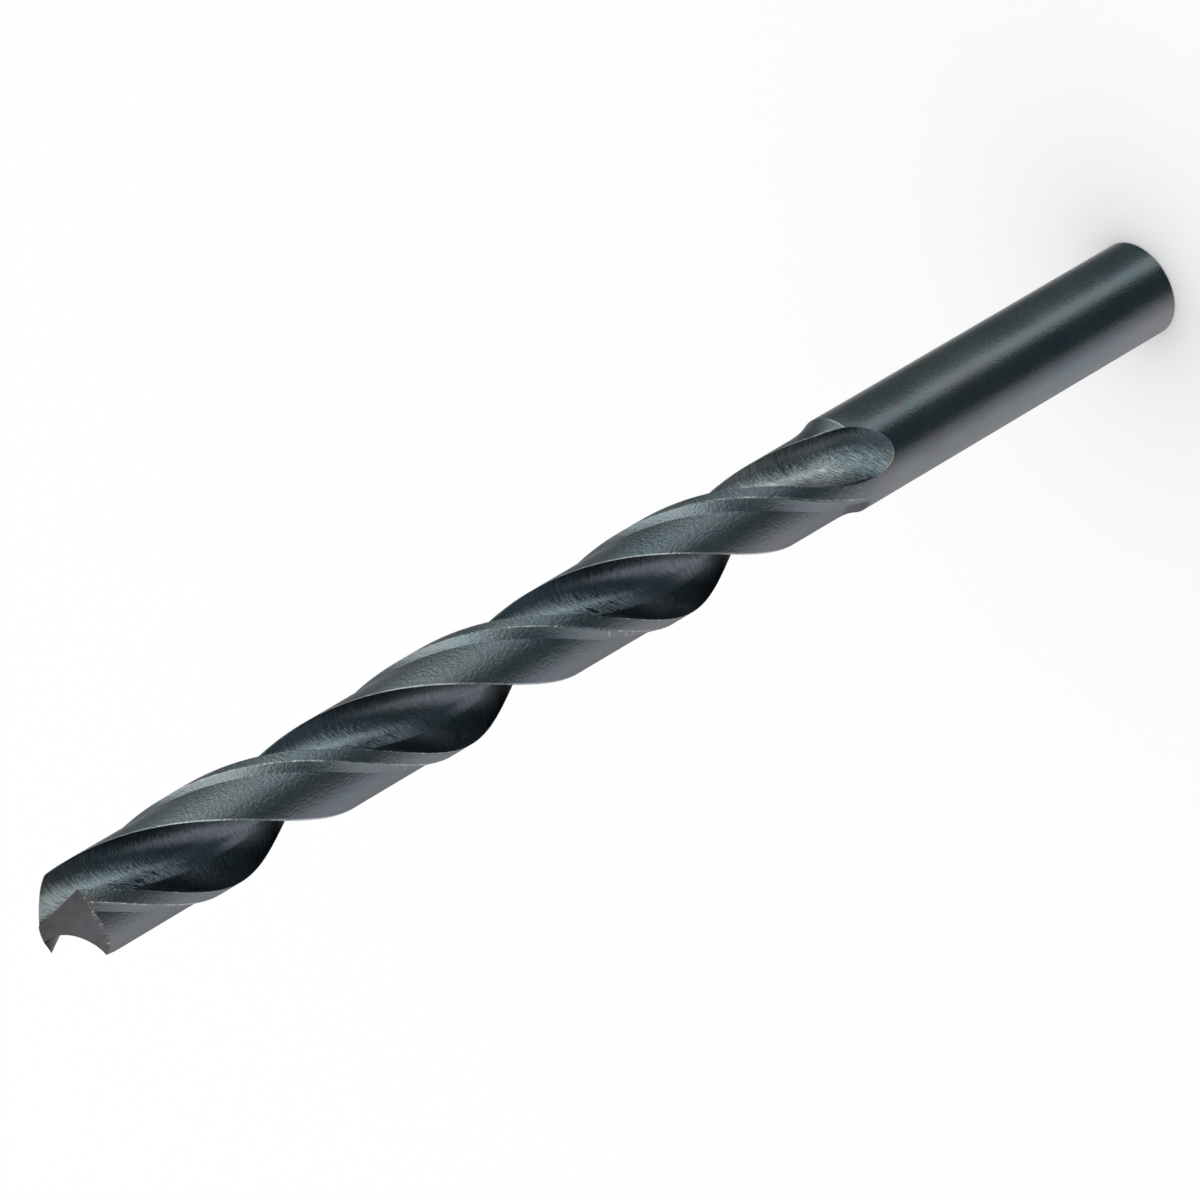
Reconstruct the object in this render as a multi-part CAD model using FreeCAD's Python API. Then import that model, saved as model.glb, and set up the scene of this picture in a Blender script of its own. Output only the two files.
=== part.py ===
import FreeCAD, Part
import math
import os

# Twist drill in one piece: a straight shank, two right-hand helical flutes and a conical
# ground point. Millimetres and degrees. The drill stands on the flat end of its shank: the
# origin is the centre of that end, and +Z runs up the axis to the point. One outer corner of
# the point is on +X. "Ahead" of a cutting edge lies towards its flute, which is the positive
# turn about +Z, and "behind" it lies in its own land.

# Blank
overallLength = 114.3
drillDiameter = 7.94
shankDiameter = 7.75
backTaperLength = 85.0      # over which the body tapers back to the shank's diameter
endChamfer = 0.1

# Flutes
fluteCount = 2
flutePitch = 45.8
fluteLength = 83.1          # from the point to the last of the run-out
runOutLength = 8.6          # where the wheel lifts out of the blank
runOutTwist = 0.86          # twist over the run-out, as a share of the helix
runOutCurve = 2.7           # power of the wheel's rise, so the end is blunter than a parabola's
webThickness = 1.08         # at the point
webGrowth = 0.005           # gain of web thickness for each millimetre towards the shank
lipOffset = 0.46            # from the lip to the line beside it through the axis
bottomRadius = 1.91         # round of the flute from its bottom to its heel
bottomAhead = 59.8          # direction of that round's centre at the point, ahead of the cutting edge
bottomCreep = 0.095         # loss of that angle for each millimetre towards the shank

# Lands
marginAngle = 16.0          # width of the full-diameter margin
rampAngle = 10.4            # from the margin down to the body clearance
clearanceDiameter = 7.2     # at the point
clearanceTaper = 0.0054     # loss of that diameter for each millimetre towards the shank
clearanceReach = 104.0      # end of the clearance cut behind the edge, past the heel
clearanceEnd = 2.6          # from the last of the clearance to the last of the flutes
clearanceRunOut = 2.5

# Point: each flank is part of a cone that holds its lip as one of its straight lines
pointAngle = 118.0
lipClearance = 11.1         # fall of the flank behind the lip, square to it
coneHalfAngle = 45.0
coneApexBack = 2.7          # apex past the axis, along the lip and away from its corner

# Build settings
sectionTurn = 20.0          # twist from one section of a helical cut to the next
runOutSteps = 10
seamTurn = 60.0             # of the blank's seam line, which starts clear of the outer corners
outerShare = 1.15           # how far the cuts' walls reach outside the blank
openShare = 2.0
sleeveShare = 1.1           # the sleeve round the blank that holds the cuts
sleeveRise = 5.0            # how far it stands over the drill

# Worked out from the sizes above
drillRadius = drillDiameter / 2
shankRadius = shankDiameter / 2
toothAngle = 360.0 / fluteCount
twistPerMm = 360.0 / flutePitch
fluteStop = overallLength - fluteLength
liftStart = fluteStop + runOutLength
clearanceStop = fluteStop + clearanceEnd
clearanceLift = clearanceStop + clearanceRunOut
up = FreeCAD.Vector(0, 0, 1)


def polar(radius, angle, height=0.0):
    turn = math.radians(angle)
    return FreeCAD.Vector(radius * math.cos(turn), radius * math.sin(turn), height)


def flankCone():
    """Apex and axis of the first flank's cone, with heights from the outer corners."""
    lipTurn = -math.degrees(math.asin(lipOffset / drillRadius))
    outward = polar(1, lipTurn)
    ahead = polar(1, lipTurn + 90)
    slope = math.radians(pointAngle / 2)
    lipHalf = math.sqrt(drillRadius ** 2 - lipOffset ** 2)
    apexRise = (lipHalf + coneApexBack) / math.tan(slope)
    apex = outward * -coneApexBack + ahead * lipOffset + up * apexRise
    alongLip = outward * math.sin(slope) - up * math.cos(slope)
    intoLand = outward * -math.cos(slope) - up * math.sin(slope)
    fall = math.radians(lipClearance)
    inward = intoLand * math.cos(fall) + ahead * math.sin(fall)
    halfAngle = math.radians(coneHalfAngle)
    axis = alongLip * math.cos(halfAngle) + inward * math.sin(halfAngle)
    return apex, axis


def chiselRise():
    """Height of the chisel edge above the outer corners, where a flank's cone meets the axis."""
    apex, axis = flankCone()
    share = math.cos(math.radians(coneHalfAngle)) ** 2
    a = axis.z ** 2 - share
    b = 2 * (share * apex.z - axis.z * apex.dot(axis))
    c = apex.dot(axis) ** 2 - share * apex.dot(apex)
    return (-b - math.sqrt(b * b - 4 * a * c)) / (2 * a)


cornerHeight = overallLength - chiselRise()


def edgeAngle(height):
    """Turn of the first cutting edge, which eases where the wheel leaves the helix."""
    if height >= liftStart:
        return (height - cornerHeight) * twistPerMm
    return (liftStart - cornerHeight + (height - liftStart) * runOutTwist) * twistPerMm


def webAt(height):
    return webThickness + webGrowth * max(0.0, cornerHeight - height)


def aheadAt(height):
    return bottomAhead - bottomCreep * max(0.0, cornerHeight - height)


def bodyRadius(height):
    """Radius of the body clearance, which tapers towards the shank."""
    return (clearanceDiameter - clearanceTaper * max(0.0, cornerHeight - height)) / 2


def lipSide(radius, offset):
    """A flute's wall under the lip, shaped so that the ground lip is a straight line."""
    rise = math.radians(twistPerMm) / math.tan(math.radians(pointAngle / 2))
    reach = math.sqrt(drillRadius ** 2 - offset ** 2) - math.sqrt(radius ** 2 - offset ** 2)
    lead = math.asin(offset / radius) - math.asin(offset / drillRadius)
    return polar(radius, math.degrees(lead - rise * reach))


def fluteOutline(height):
    """Points of a flute's wall from outside the cutting edge, round the web, to the heel."""
    web = webAt(height)
    offset = lipOffset * web / webThickness
    wall = [lipSide(drillRadius * share, offset) for share in (outerShare, 1, 0.85, 0.7, 0.55, 0.42)]
    centreReach = bottomRadius + web / 2
    ahead = aheadAt(height)
    centre = polar(centreReach, ahead)
    squares = centreReach ** 2 + bottomRadius ** 2 - bodyRadius(height) ** 2
    heelTurn = math.degrees(math.acos(squares / (2 * centreReach * bottomRadius)))
    firstTurn = 15.0
    count = 7
    for i in range(count + 1):
        turn = firstTurn - (firstTurn + heelTurn) * i / count
        wall.append(centre + polar(bottomRadius, ahead + 180 + turn))
    heel = wall[-1]
    wall.append(heel * (outerShare * drillRadius / heel.Length))
    lift = polar(liftAt(height), ahead)
    return [point + lift for point in wall]


def liftAt(height):
    """Rise of the wheel over the run-out, which brings the web's depth to nothing at the stop."""
    if height >= liftStart:
        return 0.0
    depth = shankRadius - webAt(fluteStop) / 2
    return depth * ((liftStart - height) / runOutLength) ** runOutCurve


def placed(points, height):
    turn = FreeCAD.Rotation(up, edgeAngle(height))
    return [turn.multVec(point) + up * height for point in points]


def fluteSection(height):
    wall = placed(fluteOutline(height), height)
    curve = Part.BSplineCurve()
    curve.interpolate(wall)
    first, last = wall[0], wall[-1]
    ahead = aheadAt(height)
    lift = polar(liftAt(height), ahead)
    outside = [polar(drillRadius * openShare, turn) + lift for turn in (ahead + 20, ahead - 20)]
    outer = [last] + placed(outside, height) + [first]
    edges = [curve.toShape()] + [Part.makeLine(a, b) for a, b in zip(outer, outer[1:])]
    return Part.Wire(edges)


def fluteHeights():
    """Heights of the flute's sections, from above the point to below the last of the run-out."""
    top = overallLength + sectionTurn / twistPerMm
    count = math.ceil((top - liftStart) * twistPerMm / sectionTurn)
    straight = [top + (liftStart - top) * i / count for i in range(count + 1)]
    step = runOutLength / runOutSteps
    return straight + [liftStart - step * (i + 1) for i in range(runOutSteps + 2)]


def clearanceAt(height):
    """Radius that the body clearance leaves, which rises past the blank at its end."""
    radius = bodyRadius(height)
    if height >= clearanceLift:
        return radius
    past = (clearanceLift - height) / clearanceRunOut
    return radius + (shankRadius - bodyRadius(clearanceStop)) * past ** 2


def clearanceSection(height):
    radius = clearanceAt(height)
    depth = drillRadius - clearanceDiameter / 2
    head = polar(drillRadius, -marginAngle)
    foot = polar(clearanceDiameter / 2, -marginAngle - rampAngle)
    rampTop = head + (head - foot) * 0.6
    share = (drillRadius - radius) / depth
    rampFoot = polar(radius, -marginAngle - rampAngle * share)
    middle = polar(radius, -(marginAngle + rampAngle * share + clearanceReach) / 2)
    last = polar(radius, -clearanceReach)
    outside = [polar(drillRadius * openShare, -turn) for turn in (clearanceReach, clearanceReach / 2)]
    points = placed([rampTop, rampFoot, middle, last] + outside, height)
    edges = [Part.makeLine(points[0], points[1])]
    edges.append(Part.Arc(points[1], points[2], points[3]).toShape())
    outer = points[3:] + [points[0]]
    edges += [Part.makeLine(a, b) for a, b in zip(outer, outer[1:])]
    return Part.Wire(edges)


def clearanceHeights():
    top = overallLength + sectionTurn / twistPerMm
    count = math.ceil((top - clearanceLift) * twistPerMm / sectionTurn)
    straight = [top + (clearanceLift - top) * i / count for i in range(count + 1)]
    step = clearanceRunOut / runOutSteps
    return straight + [clearanceLift - step * (i + 1) for i in range(runOutSteps + 3)]


def turned(shape, angle):
    copy = shape.copy()
    copy.rotate(FreeCAD.Vector(0, 0, 0), up, angle)
    return copy


def blank():
    taperFoot = overallLength - backTaperLength
    top = overallLength + 1
    growth = (drillRadius - shankRadius) / (cornerHeight - taperFoot)
    topRadius = drillRadius + growth * (top - cornerHeight)
    outline = [
        FreeCAD.Vector(0, 0, 0),
        FreeCAD.Vector(shankRadius - endChamfer, 0, 0),
        FreeCAD.Vector(shankRadius, 0, endChamfer),
        FreeCAD.Vector(shankRadius, 0, taperFoot),
        FreeCAD.Vector(topRadius, 0, top),
        FreeCAD.Vector(0, 0, top),
    ]
    face = Part.Face(Part.makePolygon(outline + outline[:1]))
    return turned(face.revolve(FreeCAD.Vector(0, 0, 0), up, 360), seamTurn)


def pointCone():
    apex, axis = flankCone()
    length = 1.5 * overallLength
    width = length * math.tan(math.radians(coneHalfAngle))
    return Part.makeCone(0, width, length, apex + up * cornerHeight, axis)


def drill():
    body = blank()
    cone = pointCone()
    for i in range(fluteCount):
        body = body.common(turned(cone, i * toothAngle))
    sleeve = Part.makeCylinder(drillRadius * sleeveShare, overallLength + sleeveRise)
    clearance = Part.makeLoft([clearanceSection(height) for height in clearanceHeights()], True, False)
    clearance = clearance.common(sleeve)
    flute = Part.makeLoft([fluteSection(height) for height in fluteHeights()], True, False)
    flute = flute.common(sleeve)
    cuts = []
    for i in range(fluteCount):
        cuts.append(turned(clearance, i * toothAngle))
        cuts.append(turned(flute, i * toothAngle))
    return body.cut(cuts)


os.makedirs("parts", exist_ok=True)
shape = drill()
print("solids", len(shape.Solids), "faces", len(shape.Faces), "valid", shape.isValid())
print("volume", round(shape.Volume, 2), "box", shape.BoundBox)
print("corner height", round(cornerHeight, 3))
shape.exportStep("parts/drill_bit.step")
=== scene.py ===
import bpy
import math
from mathutils import Matrix, Vector


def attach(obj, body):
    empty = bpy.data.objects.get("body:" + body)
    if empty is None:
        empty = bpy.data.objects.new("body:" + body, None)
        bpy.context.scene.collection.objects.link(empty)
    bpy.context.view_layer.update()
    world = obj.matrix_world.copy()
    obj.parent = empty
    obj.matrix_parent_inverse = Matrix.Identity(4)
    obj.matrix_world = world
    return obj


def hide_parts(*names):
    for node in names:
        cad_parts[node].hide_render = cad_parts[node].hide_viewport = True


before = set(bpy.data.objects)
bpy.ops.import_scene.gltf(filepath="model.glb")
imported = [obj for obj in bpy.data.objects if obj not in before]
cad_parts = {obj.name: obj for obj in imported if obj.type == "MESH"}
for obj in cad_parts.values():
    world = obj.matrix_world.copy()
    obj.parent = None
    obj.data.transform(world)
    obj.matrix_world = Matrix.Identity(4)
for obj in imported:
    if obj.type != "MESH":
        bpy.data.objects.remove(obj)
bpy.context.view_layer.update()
mm = 0.001
print("frame loaded")


class Wire:
    # one socket of a node tree, which can stand in plain sums
    def __init__(self, tree, socket=None):
        self.tree = tree
        self.socket = socket

    def node(self, kind, settings=None, sockets=None, out=0):
        made = self.tree.nodes.new(kind)
        for name, value in (settings or {}).items():
            setattr(made, name, value)
        for name, value in (sockets or {}).items():
            for item in value if isinstance(value, list) else [value]:
                if isinstance(item, Wire):
                    self.tree.links.new(item.socket, made.inputs[name])
                else:
                    made.inputs[name].default_value = item
        return Wire(self.tree, made.outputs[out] if made.outputs else None)

    def out(self, name):
        return Wire(self.tree, self.socket.node.outputs[name])

    def feed(self, node, socket):
        # into a node that the tree has from its start
        self.tree.links.new(self.socket, self.tree.nodes[node].inputs[socket])

    def sum(self, operation, *values):
        return self.node("ShaderNodeMath", {"operation": operation}, dict(enumerate(values)))

    def __add__(self, other):
        return self.sum("ADD", self, other)

    def __mul__(self, other):
        return self.sum("MULTIPLY", self, other)

    def __sub__(self, other):
        return self.sum("SUBTRACT", self, other)

    def __rsub__(self, other):
        return self.sum("SUBTRACT", other, self)

    def __truediv__(self, other):
        return self.sum("DIVIDE", self, other)

    def __pow__(self, other):
        return self.sum("POWER", self, other)

    def atLeast(self, other):
        return self.sum("MAXIMUM", self, other)

    def atMost(self, other):
        return self.sum("MINIMUM", self, other)

    def distance(self, other):
        return self.sum("ABSOLUTE", self - other)

    def ease(self, start, end):
        # 0 at start and 1 at end, with a soft turn at both
        low, high = (start, end) if start < end else (end, start)
        sockets = {"Value": self, "From Min": low, "From Max": high}
        eased = self.node("ShaderNodeMapRange", {"interpolation_type": "SMOOTHSTEP"}, sockets)
        return eased if start < end else 1 - eased

    def between(self, first, second):
        # a colour between two others, with this as the share of the second
        return self.node("ShaderNodeMix", {"data_type": "RGBA"}, {0: self, 6: first, 7: second}, 2)

    def axis(self, name):
        return self.node("ShaderNodeSeparateXYZ", None, {0: self}, name)

    def vector(self, operation, other):
        return self.node("ShaderNodeVectorMath", {"operation": operation}, {0: self, 1: other})

    def scaled(self, factor):
        return self.node("ShaderNodeVectorMath", {"operation": "SCALE"}, {0: self, "Scale": factor})

    def noise(self, stretch, detail, roughness=0.5):
        sockets = {"Vector": self.vector("MULTIPLY", stretch), "Scale": 1.0, "Detail": detail,
                   "Roughness": roughness}
        return self.node("ShaderNodeTexNoise", None, sockets)


# Sizes in millimetres and degrees, as they are on the real drill
sizes = {
    "overallLength": 114.3,
    "drillDiameter": 7.94,
    "shankDiameter": 7.75,
    "backTaperLength": 85.0,
    "endChamfer": 0.1,
    "flutePitch": 45.8,
    "fluteLength": 83.1,
    "runOutLength": 8.6,
    "runOutTwist": 0.86,
    "runOutCurve": 2.7,
    "webThickness": 1.08,
    "webGrowth": 0.005,
    "lipOffset": 0.46,
    "bottomRadius": 1.91,
    "bottomAhead": 59.8,
    "bottomCreep": 0.095,
    "marginAngle": 16.0,
    "rampAngle": 10.4,
    "clearanceDiameter": 7.2,
    "clearanceTaper": 0.0054,
    "clearanceReach": 104.0,
    "clearanceEnd": 2.6,
    "clearanceRunOut": 2.5,
    "pointAngle": 118.0,
    "lipClearance": 11.1,
    "coneHalfAngle": 45.0,
    "coneApexBack": 2.7,
}

# How its mesh is made: counts of points, and how far the cutters reach past the blank
drillMesh = {
    "outlinePoints": 120,       # round each cutter
    "outsidePoints": 40,        # of these, on the arc outside the blank
    "sidePoints": 10,           # of these, from the heel outwards or down the ramp behind the margin
    "bridgePoints": 6,          # of these, from the wall under the lip to the flute's round
    "lipShare": 0.4,            # of the points left for the flute, on the wall under the lip
    "cutterRows": 330,          # along each cutter
    "blankSides": 200,
    "coneSides": 512,
    "wallShare": 1.15,          # of the drill's radius, where the flute's walls end outside
    "lipDepth": 0.73,           # of the drill's radius, from there in to the end of the wall under the lip
    "openShare": 1.5,           # of the drill's radius, where the cutters close
    "roundStart": 15.0,         # degrees before the web's thinnest place, where the flute's round starts
    "roundStep": 0.1,           # degrees, over which its direction is taken there
    "rampOver": 0.6,            # of the ramp's length, that the cutter reaches past the margin's edge
    "cutterOver": 2.0,          # over the drill's end
    "blankOver": 1.0,
    "underFlute": 1.5,          # under the last of the flute
    "underClearance": 0.8,
    "coneLength": 1.5,          # of the drill's length
    "sharpEdge": 15.0,          # degrees between faces that meet in an edge
    "groundDepth": 4.0,         # under the outer corners, down to which faces can be ground
    "groundFacing": 0.6,        # upward part of a ground face's normal, at the least
}


def polar(radius, angle, height=0.0):
    turn = math.radians(angle)
    return Vector((radius * math.cos(turn), radius * math.sin(turn), height))


def angleOf(point):
    return math.degrees(math.atan2(point.y, point.x))


drillRadius = sizes["drillDiameter"] / 2
shankRadius = sizes["shankDiameter"] / 2
clearanceRadius = sizes["clearanceDiameter"] / 2


def pointCone():
    # apex and axis of the first flank's cone, with heights from the outer corners
    offset = sizes["lipOffset"]
    lipTurn = -math.degrees(math.asin(offset / drillRadius))
    outward, ahead, up = polar(1, lipTurn), polar(1, lipTurn + 90), Vector((0, 0, 1))
    slope, fall = math.radians(sizes["pointAngle"] / 2), math.radians(sizes["lipClearance"])
    half, back = math.radians(sizes["coneHalfAngle"]), sizes["coneApexBack"]
    apexRise = (math.sqrt(drillRadius ** 2 - offset ** 2) + back) / math.tan(slope)
    apex = outward * -back + ahead * offset + up * apexRise
    alongLip = outward * math.sin(slope) - up * math.cos(slope)
    intoLand = outward * -math.cos(slope) - up * math.sin(slope)
    inward = intoLand * math.cos(fall) + ahead * math.sin(fall)
    return apex, alongLip * math.cos(half) + inward * math.sin(half)


def chiselRise():
    # height of the chisel edge over the outer corners, where a flank's cone meets the drill's axis
    apex, axis = pointCone()
    share = math.cos(math.radians(sizes["coneHalfAngle"])) ** 2
    a = axis.z ** 2 - share
    b = 2 * (share * apex.z - axis.z * apex.dot(axis))
    c = apex.dot(axis) ** 2 - share * apex.dot(apex)
    return (-b - math.sqrt(b * b - 4 * a * c)) / (2 * a)


cornerHeight = sizes["overallLength"] - chiselRise()
taperFoot = sizes["overallLength"] - sizes["backTaperLength"]
backTaper = (drillRadius - shankRadius) / (cornerHeight - taperFoot)
twistPerMm = 360 / sizes["flutePitch"]
fluteStop = sizes["overallLength"] - sizes["fluteLength"]
liftStart = fluteStop + sizes["runOutLength"]
clearanceStop = fluteStop + sizes["clearanceEnd"]
clearanceLift = clearanceStop + sizes["clearanceRunOut"]
bodyDrop = sizes["clearanceTaper"] / 2
lastBody = clearanceRadius - bodyDrop * (cornerHeight - clearanceStop)
endBody = clearanceRadius - bodyDrop * (cornerHeight - fluteStop)
endWeb = sizes["webThickness"] + sizes["webGrowth"] * (cornerHeight - fluteStop)
endAhead = sizes["bottomAhead"] - sizes["bottomCreep"] * (cornerHeight - fluteStop)


def edgeTurn(height):
    # turn of the first cutting edge at a height, for a wire of either kind of tree
    eased = (height.atMost(liftStart) - liftStart) * sizes["runOutTwist"]
    return (height.atLeast(liftStart) - cornerHeight + eased) * twistPerMm


def clearanceRise(height, whole):
    # how far the body clearance has risen at a height, of its whole rise at the end
    return ((clearanceLift - height).atLeast(0) / sizes["clearanceRunOut"]) ** 2 * whole


def outsideArc(start, end):
    count, radius = drillMesh["outsidePoints"], drillMesh["openShare"] * drillRadius
    return [polar(radius, start + (end - start) * i / (count - 1)) for i in range(count)]


def bridge(start, startWay, end, endWay, count):
    # points inside a smooth curve from start to end, with its direction at each
    span = (end - start).length
    points = []
    for i in range(1, count + 1):
        t = i / (count + 1)
        near = start * (2 * t ** 3 - 3 * t ** 2 + 1) + startWay * span * (t ** 3 - 2 * t ** 2 + t)
        points.append(near + end * (3 * t ** 2 - 2 * t ** 3) + endWay * span * (t ** 3 - t ** 2))
    return points


def fluteOutline(web, body, ahead):
    # from outside the cutting edge, under the lip, round the web, past the heel and back outside
    offset = sizes["lipOffset"] * web / sizes["webThickness"]
    rise = math.radians(twistPerMm) / math.tan(math.radians(sizes["pointAngle"] / 2))
    corner = math.sqrt(drillRadius ** 2 - offset ** 2)

    def lipSide(radius):
        lead = math.asin(offset / radius) - math.asin(offset / drillRadius)
        return polar(radius, math.degrees(lead - rise * (corner - math.sqrt(radius ** 2 - offset ** 2))))

    bottom = sizes["bottomRadius"]
    reach = bottom + web / 2
    centre = polar(reach, ahead)
    heelTurn = math.degrees(math.acos((reach ** 2 + bottom ** 2 - body ** 2) / (2 * reach * bottom)))

    def onRound(turn):
        return centre + polar(bottom, ahead + 180 + turn)

    sideCount, bridgeCount = drillMesh["sidePoints"], drillMesh["bridgePoints"]
    wallCount = drillMesh["outlinePoints"] - drillMesh["outsidePoints"] - sideCount
    lipCount = int(wallCount * drillMesh["lipShare"])
    roundCount = wallCount - lipCount - bridgeCount
    wallShare, lipDepth, first = drillMesh["wallShare"], drillMesh["lipDepth"], drillMesh["roundStart"]
    points = [lipSide(drillRadius * (wallShare - lipDepth * i / (lipCount - 1))) for i in range(lipCount)]
    lipWay = (points[-1] - points[-2]).normalized()
    roundWay = (onRound(first - drillMesh["roundStep"]) - onRound(first)).normalized()
    points += bridge(points[-1], lipWay, onRound(first), roundWay, bridgeCount)
    points += [onRound(first - (first + heelTurn) * i / (roundCount - 1)) for i in range(roundCount)]
    heel = points[-1]
    beyond = wallShare * drillRadius / heel.length - 1
    points += [heel * (1 + beyond * (i + 1) / sideCount) for i in range(sideCount)]
    points += outsideArc(angleOf(heel), angleOf(points[0]))
    return points[::-1]   # the other way round, so that the cutter's faces point outwards


def clearanceOutline(radius):
    # the ramp behind the margin, the body's round to past the heel, and back outside
    margin, ramp, reach = sizes["marginAngle"], sizes["rampAngle"], sizes["clearanceReach"]
    head, full = polar(drillRadius, -margin), polar(clearanceRadius, -margin - ramp)
    footAngle = margin + ramp * ((drillRadius - radius) / (drillRadius - clearanceRadius))
    foot, top = polar(radius, -footAngle), head + (head - full) * drillMesh["rampOver"]
    sideCount = drillMesh["sidePoints"]
    roundCount = drillMesh["outlinePoints"] - drillMesh["outsidePoints"] - sideCount
    points = [top.lerp(foot, i / sideCount) for i in range(sideCount)]
    for i in range(roundCount):
        points.append(polar(radius, -footAngle - (reach - footAngle) * i / (roundCount - 1)))
    return points + outsideArc(-reach, -margin)


def blankOutline():
    # radius and height of the round blank's corners, from the bottom
    chamfer, top = sizes["endChamfer"], sizes["overallLength"] + drillMesh["blankOver"]
    topRadius = drillRadius + backTaper * (top - cornerHeight)
    corners = [(shankRadius - chamfer, 0), (shankRadius, chamfer)]
    corners += [(shankRadius, taperFoot), (topRadius, top)]
    return [Vector((radius, 0, height)) for radius, height in corners]


def geometryTree():
    tree = bpy.data.node_groups.new("drillTree", "GeometryNodeTree")
    face = tree.interface
    face.new_socket("Geometry", in_out="OUTPUT", socket_type="NodeSocketGeometry")
    named = {
        "Geometry": ["Geometry"],
        "Float": ["Run-out lift", "Sharp edge"],
        "Int": ["Cutter rows", "Outline points", "Blank sides", "Cone sides"],
        "Material": ["Oxide", "Ground point"],
    }
    for kind, names in named.items():
        for name in names:
            face.new_socket(name, in_out="INPUT", socket_type="NodeSocket" + kind)
    return tree


def drillTree():
    # outlines come in as the points of one mesh: flute, flute at its end, full clearance, none, blank
    tree = geometryTree()
    start = Wire(tree)
    given = start.node("NodeGroupInput")
    outlines = given.out("Geometry")
    count, rows = given.out("Outline points"), given.out("Cutter rows")
    place = start.node("GeometryNodeInputPosition")
    index = start.node("GeometryNodeInputIndex")
    heightShare = place.axis("Z") + 0.5   # from the foot of a tube to its top

    def outlineAt(item):
        settings = {"data_type": "FLOAT_VECTOR", "domain": "POINT"}
        sockets = {"Geometry": outlines, "Value": place, "Index": item}
        return start.node("GeometryNodeSampleIndex", settings, sockets)

    def tube(sides, steps):
        sockets = {"Vertices": sides, "Side Segments": steps, "Radius": 1.0, "Depth": 1.0}
        return start.node("GeometryNodeMeshCylinder", {"fill_type": "NGON"}, sockets)

    def placed(shape, flat, height):
        # each point of a tube goes to its flat place, raised to its height
        raised = flat.vector("ADD", start.node("ShaderNodeCombineXYZ", None, {"Z": height}))
        return start.node("GeometryNodeSetPosition", None, {"Geometry": shape, "Position": raised})

    liftMiddle = cornerHeight - fluteStop - sizes["runOutLength"] / 3
    liftWay = tuple(polar(1, sizes["bottomAhead"] - liftMiddle * sizes["bottomCreep"]))

    def cutter(firstOutline, share, bottom, lift=None):
        # between two outlines by a share of each height, lifted out of the blank, along the helix
        top = sizes["overallLength"] + drillMesh["cutterOver"]
        column = start.sum("MODULO", index, count)
        height = heightShare * (top - bottom) + bottom
        near = outlineAt(count * firstOutline + column)
        far = outlineAt(count * (firstOutline + 1) + column)
        flat = near.vector("ADD", far.vector("SUBTRACT", near).scaled(share(height)))
        if lift:
            scale = {0: liftWay, "Scale": lift(height)}
            flat = flat.vector("ADD", start.node("ShaderNodeVectorMath", {"operation": "SCALE"}, scale))
        turn = {"Vector": flat, "Angle": edgeTurn(height) * (math.pi / 180)}
        turned = start.node("ShaderNodeVectorRotate", {"rotation_type": "Z_AXIS"}, turn)
        return placed(tube(count, rows), turned, height)

    def fluteShare(height):
        return (cornerHeight - height) / (cornerHeight - fluteStop)

    def fluteLift(height):
        rise = ((liftStart - height).atLeast(0) / sizes["runOutLength"]) ** sizes["runOutCurve"]
        return rise * given.out("Run-out lift")

    def clearanceShare(height):
        # from the full clearance, 0, to the blank's own radius, 1
        body = clearanceRadius - (cornerHeight - height).atLeast(0) * bodyDrop
        radius = body + clearanceRise(height, shankRadius - lastBody)
        return (radius - clearanceRadius) / (drillRadius - clearanceRadius)

    flute = cutter(0, fluteShare, fluteStop - drillMesh["underFlute"], fluteLift)
    clearance = cutter(2, clearanceShare, clearanceStop - drillMesh["underClearance"])
    corner = outlineAt(count * 4 + start.sum("ROUND", heightShare * 3))
    rim = place.vector("MULTIPLY", (1.0, 1.0, 0.0)).scaled(corner.axis("X"))
    blank = placed(tube(given.out("Blank sides"), 3), rim, corner.axis("Z"))

    apex, axis = pointCone()
    length = drillMesh["coneLength"] * sizes["overallLength"]
    width = length * math.tan(math.radians(sizes["coneHalfAngle"]))
    coneSockets = {"Vertices": given.out("Cone sides"), "Side Segments": 1, "Radius Top": width,
                   "Radius Bottom": 0.0, "Depth": length}
    cone = start.node("GeometryNodeMeshCone", {"fill_type": "NGON"}, coneSockets)
    tilt = {"Geometry": cone, "Rotation": tuple(axis.to_track_quat("Z", "Y").to_euler()),
            "Translation": tuple(apex + Vector((0, 0, cornerHeight)))}
    cone = start.node("GeometryNodeTransform", None, tilt)

    def pair(shape):
        # a shape and its second, half a turn on
        half = {"Geometry": shape, "Rotation": (0, 0, math.pi)}
        return [shape, start.node("GeometryNodeTransform", None, half)]

    def boolean(operation, sockets):
        settings = {"operation": operation, "solver": "MANIFOLD"}
        return start.node("GeometryNodeMeshBoolean", settings, sockets)

    body = boolean("INTERSECT", {1: [blank] + pair(cone)})
    body = boolean("DIFFERENCE", {0: body, 1: pair(clearance)})
    body = boolean("DIFFERENCE", {0: body, 1: pair(flute)})
    body = start.node("GeometryNodeTransform", None, {"Geometry": body, "Scale": (mm, mm, mm)})

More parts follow.
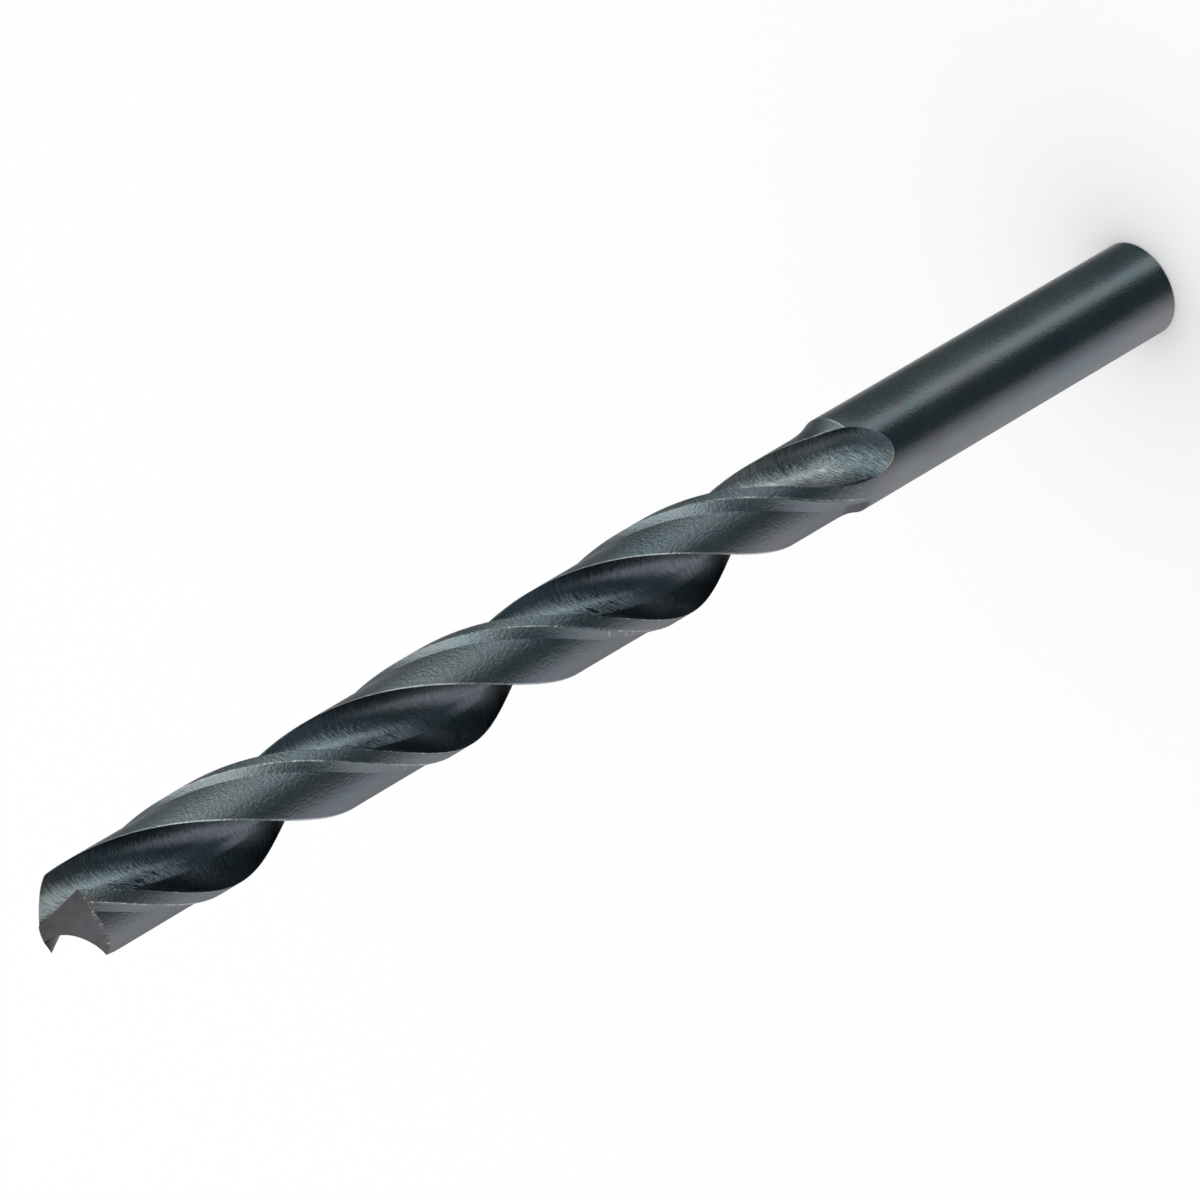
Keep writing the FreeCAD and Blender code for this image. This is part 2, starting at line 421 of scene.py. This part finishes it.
    bend = {0: start.node("GeometryNodeInputMeshEdgeAngle"), 1: given.out("Sharp edge")}
    edge = start.node("FunctionNodeCompare", {"operation": "GREATER_THAN"}, bend)
    shading = {"Geometry": body, "Selection": edge, "Shade Smooth": False}
    body = start.node("GeometryNodeSetShadeSmooth", {"domain": "EDGE"}, shading)
    facing = start.node("GeometryNodeInputNormal").axis("Z")
    isUpward = start.sum("GREATER_THAN", facing, drillMesh["groundFacing"])
    isHigh = start.sum("GREATER_THAN", place.axis("Z"), (cornerHeight - drillMesh["groundDepth"]) * mm)
    body = start.node("GeometryNodeRealizeInstances", None, {0: body})
    body = start.node("GeometryNodeSetMaterial", None, {"Geometry": body, "Material": given.out("Oxide")})
    ground = {"Geometry": body, "Selection": isUpward * isHigh, "Material": given.out("Ground point")}
    body = start.node("GeometryNodeSetMaterial", None, ground)
    start.node("NodeGroupOutput", None, {0: body})
    return tree


def makeDrill(oxide, groundPoint):
    outlines = fluteOutline(sizes["webThickness"], clearanceRadius, sizes["bottomAhead"])
    outlines += fluteOutline(endWeb, endBody, endAhead)
    outlines += clearanceOutline(clearanceRadius) + clearanceOutline(drillRadius) + blankOutline()
    mesh = bpy.data.meshes.new("drillOutlines")
    mesh.from_pydata(outlines, [], [])
    base = bpy.data.objects.new("drillOutlines", mesh)
    bpy.context.collection.objects.link(base)
    tree = drillTree()
    modifier = base.modifiers.new("drill", "NODES")
    modifier.node_group = tree
    values = {
        "Run-out lift": shankRadius - endWeb / 2,
        "Cutter rows": drillMesh["cutterRows"],
        "Outline points": drillMesh["outlinePoints"],
        "Blank sides": drillMesh["blankSides"],
        "Cone sides": drillMesh["coneSides"],
        "Sharp edge": math.radians(drillMesh["sharpEdge"]),
        "Oxide": oxide,
        "Ground point": groundPoint,
    }
    for item in tree.interface.items_tree:
        if item.in_out == "INPUT" and item.name in values:
            modifier[item.identifier] = values[item.name]
    bpy.context.view_layer.update()
    evaluated = base.evaluated_get(bpy.context.evaluated_depsgraph_get())
    made = bpy.data.meshes.new_from_object(evaluated)
    bpy.data.objects.remove(base)
    made.name = "twistDrill"
    drill = bpy.data.objects.new("twistDrill", made)
    bpy.context.collection.objects.link(drill)
    return drill


# Metals
white = (1, 1, 1, 1)
black = (0, 0, 0, 1)
oxideColours = {
    "blue": (0.156, 0.190, 0.212, 1),
    "grey": (0.190, 0.204, 0.218, 1),
    # painted shade: the flutes darker than the lands, for the shade in their hollows
    "flute": (0.132, 0.160, 0.186, 1),
    # painted highlight: the flute lighter before its run-out, for the light it reflects there
    "sweptHighlight": (0.29, 0.30, 0.305, 1),            # the flute just before its run-out
    # painted reflection: the flute lighter towards the cutting edge
    "cuttingSideReflection": (0.20, 0.24, 0.275, 1),      # the flute towards the cutting edge
    "brown": (0.19, 0.145, 0.115, 1),
    "speckle": (0.30, 0.31, 0.31, 1),
    # painted shade on the facet where the body clearance ends
    "endFaceShade": (0.02, 0.025, 0.03, 1),          # where the body clearance ends
    # bare steel where the edges wear, and painted highlight along the margin and the heel
    "wearAndEdgeHighlight": (0.60, 0.63, 0.64, 1),
    "mark": (0.03, 0.04, 0.05, 1),
    "scoop": (0.06, 0.085, 0.095, 1),           # the last of the run-out
    "nearPoint": (0.12, 0.122, 0.125, 1),
}
groundColours = {
    "dark": (0.098, 0.097, 0.105, 1),
    "light": (0.122, 0.120, 0.130, 1),
    "speck": (0.46, 0.41, 0.37, 1),
}
bumpDepths = {"oxide": 0.00005, "ground": 0.00001}   # in metres
halfShift = 9.7   # between the two halves of the drill in the helical noise


def heelBehind(web, body, ahead):
    bottom = sizes["bottomRadius"]
    reach = bottom + web / 2
    return 180 - ahead - math.degrees(math.acos((reach ** 2 + body ** 2 - bottom ** 2) / (2 * reach * body)))


def surface(start):
    # the places on the drill that the metals draw on, in millimetres and degrees
    place = start.node("ShaderNodeTexCoord", out="Object").scaled(1 / mm)
    x, y, height = [place.axis(name) for name in "XYZ"]
    radius = (x * x + y * y) ** 0.5
    turns = (edgeTurn(height) - start.sum("ARCTAN2", y, x) * (180 / math.pi)) * (1 / 180)
    land = start.sum("FLOOR", turns)
    behind = (turns - land) * 180
    half = start.sum("FLOORED_MODULO", land, 2.0) * halfShift
    helix = math.atan(2 * math.pi * drillRadius / sizes["flutePitch"])

    def helical(around):
        # along the helix, across it, and apart for each half of the drill
        along = height * (1 / math.cos(helix)) + around * math.sin(helix)
        return start.node("ShaderNodeCombineXYZ", None, {0: along, 1: around * math.cos(helix), 2: half})

    body = clearanceRadius - (cornerHeight - height) * bodyDrop
    blank = (height - taperFoot).atLeast(0) * backTaper + shankRadius
    ramp = behind.ease(sizes["marginAngle"], sizes["marginAngle"] + sizes["rampAngle"])
    cleared = (body + clearanceRise(height, shankRadius - endBody)).atMost(blank)
    depth = blank - (blank - cleared) * ramp - radius
    firstHeel = heelBehind(sizes["webThickness"], clearanceRadius, sizes["bottomAhead"])
    heelDrift = (heelBehind(endWeb, endBody, endAhead) - firstHeel) / (cornerHeight - fluteStop)
    swing = start.sum("SINE", (behind - (180 - sizes["bottomAhead"])) * (math.pi / 180))
    return {
        "place": place,
        "height": height,
        "behind": behind,                        # from the cutting edge, 0, to the next one, 180
        "toHeel": (cornerHeight - height) * heelDrift + firstHeel - behind,
        "depth": depth,                          # under the land
        "cutBack": blank - radius,               # under the round blank
        "inFlute": depth.ease(0.03, 0.12),
        "fromFluteStop": height - fluteStop,
        "landHelix": helical(behind * (0.75 * drillRadius * math.pi / 180)),
        "fluteHelix": helical(radius * swing),
    }


def principled(name, values):
    material = bpy.data.materials.new(name)
    material.use_nodes = True
    for socket, value in values.items():
        material.node_tree.nodes["Principled BSDF"].inputs[socket].default_value = value
    return material


def feedMetal(colour, level, depth, rough):
    bump = {"Strength": 1.0, "Distance": depth, "Height": level}
    colour.feed("Principled BSDF", "Base Color")
    level.node("ShaderNodeBump", None, bump, "Normal").feed("Principled BSDF", "Normal")
    rough.feed("Principled BSDF", "Roughness")


def blackOxide():
    material = principled("blackOxide", {"Metallic": 1.0})
    at = surface(Wire(material.node_tree))
    place, behind, past, flute = at["place"], at["behind"], at["fromFluteStop"], at["inFlute"]
    outer = 1 - flute
    isLand = past.ease(0, 4)
    isBody = past.ease(sizes["clearanceEnd"], sizes["clearanceEnd"] + 3)
    spoon = 1 - past.ease(6, 14)

    # clouds and spots of the oxide, and the grain of the lands and the shank
    mottle = place.noise((0.16, 0.16, 0.11), 3.0, 0.55).ease(0.36, 0.64)
    brown = past.ease(-16, -1) * place.noise((0.5, 0.5, 0.3), 2.0).ease(0.5, 0.75)
    brown = brown * (1 - past.ease(0, 2))
    speckle = place.noise((11.0, 11.0, 11.0), 2.0, 0.6).ease(0.6, 0.78)
    grain = place.noise((4.5, 4.5, 3.0), 3.0, 0.65)

    # the cutter's cross marks in the flutes
    marks = at["fluteHelix"].noise((4.2, 0.8, 1.0), 2.0, 0.6).distance(0.5).ease(0.0, 0.09)
    deepMarks = at["fluteHelix"].noise((2.2, 0.5, 1.0), 2.0, 0.5)

    # painted shade: the end of the body clearance, darkened so that its facet shows less of the light it
    # reflects
    endFaceShade = at["cutBack"].ease(0.01, 0.06) * (at["height"] - clearanceLift).ease(0.6, -0.4)
    endFaceShade = endFaceShade * behind.ease(22, 28) * outer

    # edges with bare steel and chips in them from wear, a painted highlight as a steady bright line along
    # the margin and the heel, and ticks down the ramp
    chips = at["landHelix"].noise((1.6, 1.6, 1.6), 3.0, 0.65)
    cutting = 1 - behind.ease(0.3, 1.7) + behind.ease(179.0, 179.9)
    margin = behind.distance(sizes["marginAngle"]).ease(1.5, 0.2)
    heel = at["toHeel"].ease(3.0, 1.5) * at["toHeel"].ease(-1.5, -0.5) * outer
    wearAndHighlight = (cutting * chips.ease(0.52, 0.62) * 0.9 + margin * (chips.ease(0.42, 0.62) * 0.7 + 0.2)) * outer
    wearAndHighlight = (wearAndHighlight + heel * (chips.ease(0.3, 0.55) * 0.4 + 0.6)) * isBody
    ticks = at["landHelix"].noise((3.2, 0.35, 1.0), 1.0).ease(0.6, 0.7)
    rampBand = behind.distance(sizes["marginAngle"] + 0.55 * sizes["rampAngle"]).ease(6.0, 2.0)
    patch = at["landHelix"].noise((0.12, 0.2, 1.0), 1.0).ease(0.55, 0.66)
    wearAndHighlight = (wearAndHighlight + ticks * rampBand * patch * isBody * outer * 0.5).atMost(1.0)

    base = mottle.between(oxideColours["blue"], oxideColours["grey"])
    layers = {
        # painted shade in the flutes' hollows
        "flute": flute * 0.7,
        # painted highlight in the flute before its run-out
        "sweptHighlight": flute * (past.ease(2.5, 5) * past.ease(17, 11)),
        # painted reflection on the flute towards the cutting edge
        "cuttingSideReflection": flute * behind.ease(85, 150) * past.ease(8, 16),
        "brown": brown * 0.7,
        "speckle": speckle * 0.25,
        # painted shade on the end of the body clearance
        "endFaceShade": endFaceShade * 0.6,
        # wear on the edges, and painted highlight along the margin and the heel
        "wearAndEdgeHighlight": wearAndHighlight,
        "mark": (1 - marks) * flute * (spoon * 0.14 + 0.12),
        "scoop": flute * (1 - past.ease(0.5, 7)) * 0.5 + grain.ease(0.6, 0.4) * 0.12,
        "nearPoint": flute * at["height"].ease(cornerHeight - 6, cornerHeight) * 0.8,
    }
    for colour, share in layers.items():
        base = share.between(base, oxideColours[colour])

    level = flute * (marks * 0.3 + deepMarks * 0.25 + grain * 0.3) * (spoon * 0.2 + 0.7)
    level = level + outer * grain * (isLand * 0.9 + 0.3)
    rough = grain * 0.08 + 0.22 + isLand * outer * 0.12 + flute * 0.02 + wearAndHighlight * 0.05 + mottle * 0.03
    feedMetal(base, level, bumpDepths["oxide"], rough)
    return material


def groundSteel():
    material = principled("groundPoint", {"Metallic": 0.65})
    at = surface(Wire(material.node_tree))
    place = at["place"]
    cloud = place.noise((0.8, 0.8, 0.8), 3.0, 0.6)
    rim = at["depth"].ease(0.4, 0.05)
    specks = place.noise((4.5, 4.5, 4.5), 2.0, 0.6).ease(0.55, 0.64)
    base = cloud.ease(0.35, 0.65).between(groundColours["dark"], groundColours["light"])
    base = (specks * (rim * 0.9 + 0.05)).between(base, groundColours["speck"])
    grit = place.noise((9.0, 9.0, 9.0), 3.0, 0.6)
    feedMetal(base, grit, bumpDepths["ground"], cloud * 0.1 + 0.5)
    return material


drill = makeDrill(blackOxide(), groundSteel())
triangles = sum(len(face.vertices) - 2 for face in drill.data.polygons)
print("drill", len(drill.data.vertices), "points", triangles, "triangles")
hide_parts("drill_bit")
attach(drill, "root")

# Camera
cameraSet = {
    "place": (465.119, -184.443, 412.988),
    "lens": 251.093,
    "sensor": 36.0,
    "near": 0.01,
    "far": 20,
    "turn": ((0.275007, 0.590736, 0.758553), (-0.65569, 0.692264, -0.301398),
             (-0.703166, -0.414489, 0.577717)),
}
camera = bpy.data.objects.new("camera", bpy.data.cameras.new("camera"))
camera.data.lens, camera.data.sensor_width = cameraSet["lens"], cameraSet["sensor"]
camera.data.clip_start, camera.data.clip_end = cameraSet["near"], cameraSet["far"]
cameraPlace = Matrix.Translation(Vector(cameraSet["place"]) * mm)
camera.matrix_world = cameraPlace @ Matrix(cameraSet["turn"]).to_4x4()
bpy.context.collection.objects.link(camera)
bpy.context.scene.camera = camera

# Studio: a white table along the drill and a soft box over it, which only reflections see
studio = {
    "tableTurn": 22.8,                   # azimuth of the table's upward direction
    "tableColour": (1.0, 0.97, 0.99, 1),
    "tableLight": 1.3,
    "tableEdge": 0.33,                   # light at the table's edge
    "tableGain": 0.02,                   # more light for each degree past its edge
    "tableLoss": 0.1,                    # less light on the side of the larger azimuths
    "tableFoot": (-62, -42),             # rise of the sight in degrees, over which its light comes in
    "ceilingColour": (0.150, 0.190, 0.195, 1),
    "ceilingFoot": (-64, -50),
    "boxColour": (0.93, 1.0, 0.98, 1),
    "boxGain": 1.6,                      # more light in its upper part
    "boxUpper": (-35, -14),
    "boxEnd": (22, 48),
    "darkColour": (0.070, 0.105, 0.115, 1),
    "contactReach": 3.2,                 # mm from the line of rest, where half the table's light is kept out
    "contactWidth": 0.06,
    "contactLength": 1.0,
    "contactGap": 0.02,                  # mm from the drill
    "floorReach": 3,
}


def studioWorld():
    # side and rise are the direction of sight in degrees, round the drill's axis and over the floor
    world = bpy.data.worlds.new("studio")
    world.use_nodes = True
    start = Wire(world.node_tree)
    sight = start.node("ShaderNodeTexCoord", out="Generated")
    azimuth = start.sum("ARCTAN2", sight.axis("Y"), sight.axis("X")) * (180 / math.pi)
    rise = start.sum("ARCSINE", sight.axis("Z")) * (180 / math.pi)
    side = start.sum("WRAP", studio["tableTurn"] - azimuth, 180.0, -180.0)

    # the box between its lower edge and the dark past its upper one, both bent with the rise
    upper = rise.ease(*studio["boxUpper"])
    dark = (side - (rise + 10).atLeast(0) * 1.8 + rise.ease(-38, -20) * 11).ease(17, 34)
    lowEdge = upper * -52 - rise.ease(-6, 6) * 45 + rise.ease(12, 30) * 125
    box = (side - lowEdge).ease(-15, 3) * (1 - dark) * (1 - rise.ease(*studio["boxEnd"]))
    ceiling = (rise.ease(*studio["ceilingFoot"]) * 0.75 + 0.25).between(black, studio["ceilingColour"])
    sky = dark.between(box.between(ceiling, studio["boxColour"]), studio["darkColour"])

    # the table, past a right angle on either side
    depth = side.distance(0) - 90
    table = depth.ease(-1.5, 1.5)
    light = depth * studio["tableGain"] + studio["tableEdge"] - side.ease(1, -1) * studio["tableLoss"]
    shade = (light / studio["tableLight"]).atMost(1) * rise.ease(*studio["tableFoot"])
    seen = table.between(sky, shade.between(black, studio["tableColour"]))
    power = box * upper * (1 - table) * studio["boxGain"] + table * (studio["tableLight"] - 1) + 1
    glossy = start.node("ShaderNodeLightPath", out="Is Glossy Ray")
    glossy.between(white, seen).feed("Background", "Color")
    glossy.between(white, power).feed("Background", "Strength")
    bpy.context.scene.world = world


def rectangle(name, corners, material):
    mesh = bpy.data.meshes.new(name)
    mesh.from_pydata(corners, [], [(0, 1, 2, 3)])
    mesh.materials.append(material)
    made = bpy.data.objects.new(name, mesh)
    bpy.context.collection.objects.link(made)
    return made


def contactShade():
    # a card under the drill's line of rest, clear away from it, that keeps the table's light out near it
    material = principled("contactShade", {})
    tree = material.node_tree
    tree.nodes.remove(tree.nodes["Principled BSDF"])
    start = Wire(tree)
    square = (start.node("ShaderNodeTexCoord", out="Object").axis("Y") * (1 / mm)) ** 2
    light = square / (square + studio["contactReach"] ** 2)
    shut = start.node("ShaderNodeEmission", None, {"Color": black, "Strength": 0.0})
    clear = start.node("ShaderNodeBsdfTransparent")
    start.node("ShaderNodeMixShader", None, {0: light, 1: shut, 2: clear}).feed("Material Output", "Surface")
    width, length = studio["contactWidth"], studio["contactLength"]
    corners = [(0, -width, -length), (0, width, -length), (0, width, length), (0, -width, length)]
    card = rectangle("contactShade", corners, material)
    card.rotation_euler = (0, 0, math.radians(studio["tableTurn"]))
    card.location = polar((drillRadius + studio["contactGap"]) * -mm, studio["tableTurn"])
    for kind in ("camera", "diffuse", "transmission", "volume_scatter", "shadow"):
        setattr(card, "visible_" + kind, False)


# Floor
reach = studio["floorReach"]
floorCorners = [(-reach, -reach, 0), (reach, -reach, 0), (reach, reach, 0), (-reach, reach, 0)]
floorLook = {"Base Color": white, "Roughness": 0.9, "Specular IOR Level": 0.0}
floor = rectangle("floor", floorCorners, principled("paleFloor", floorLook))
floor.visible_glossy = False
studioWorld()
contactShade()
bpy.context.scene.view_settings.view_transform = "Standard"
print("studio")
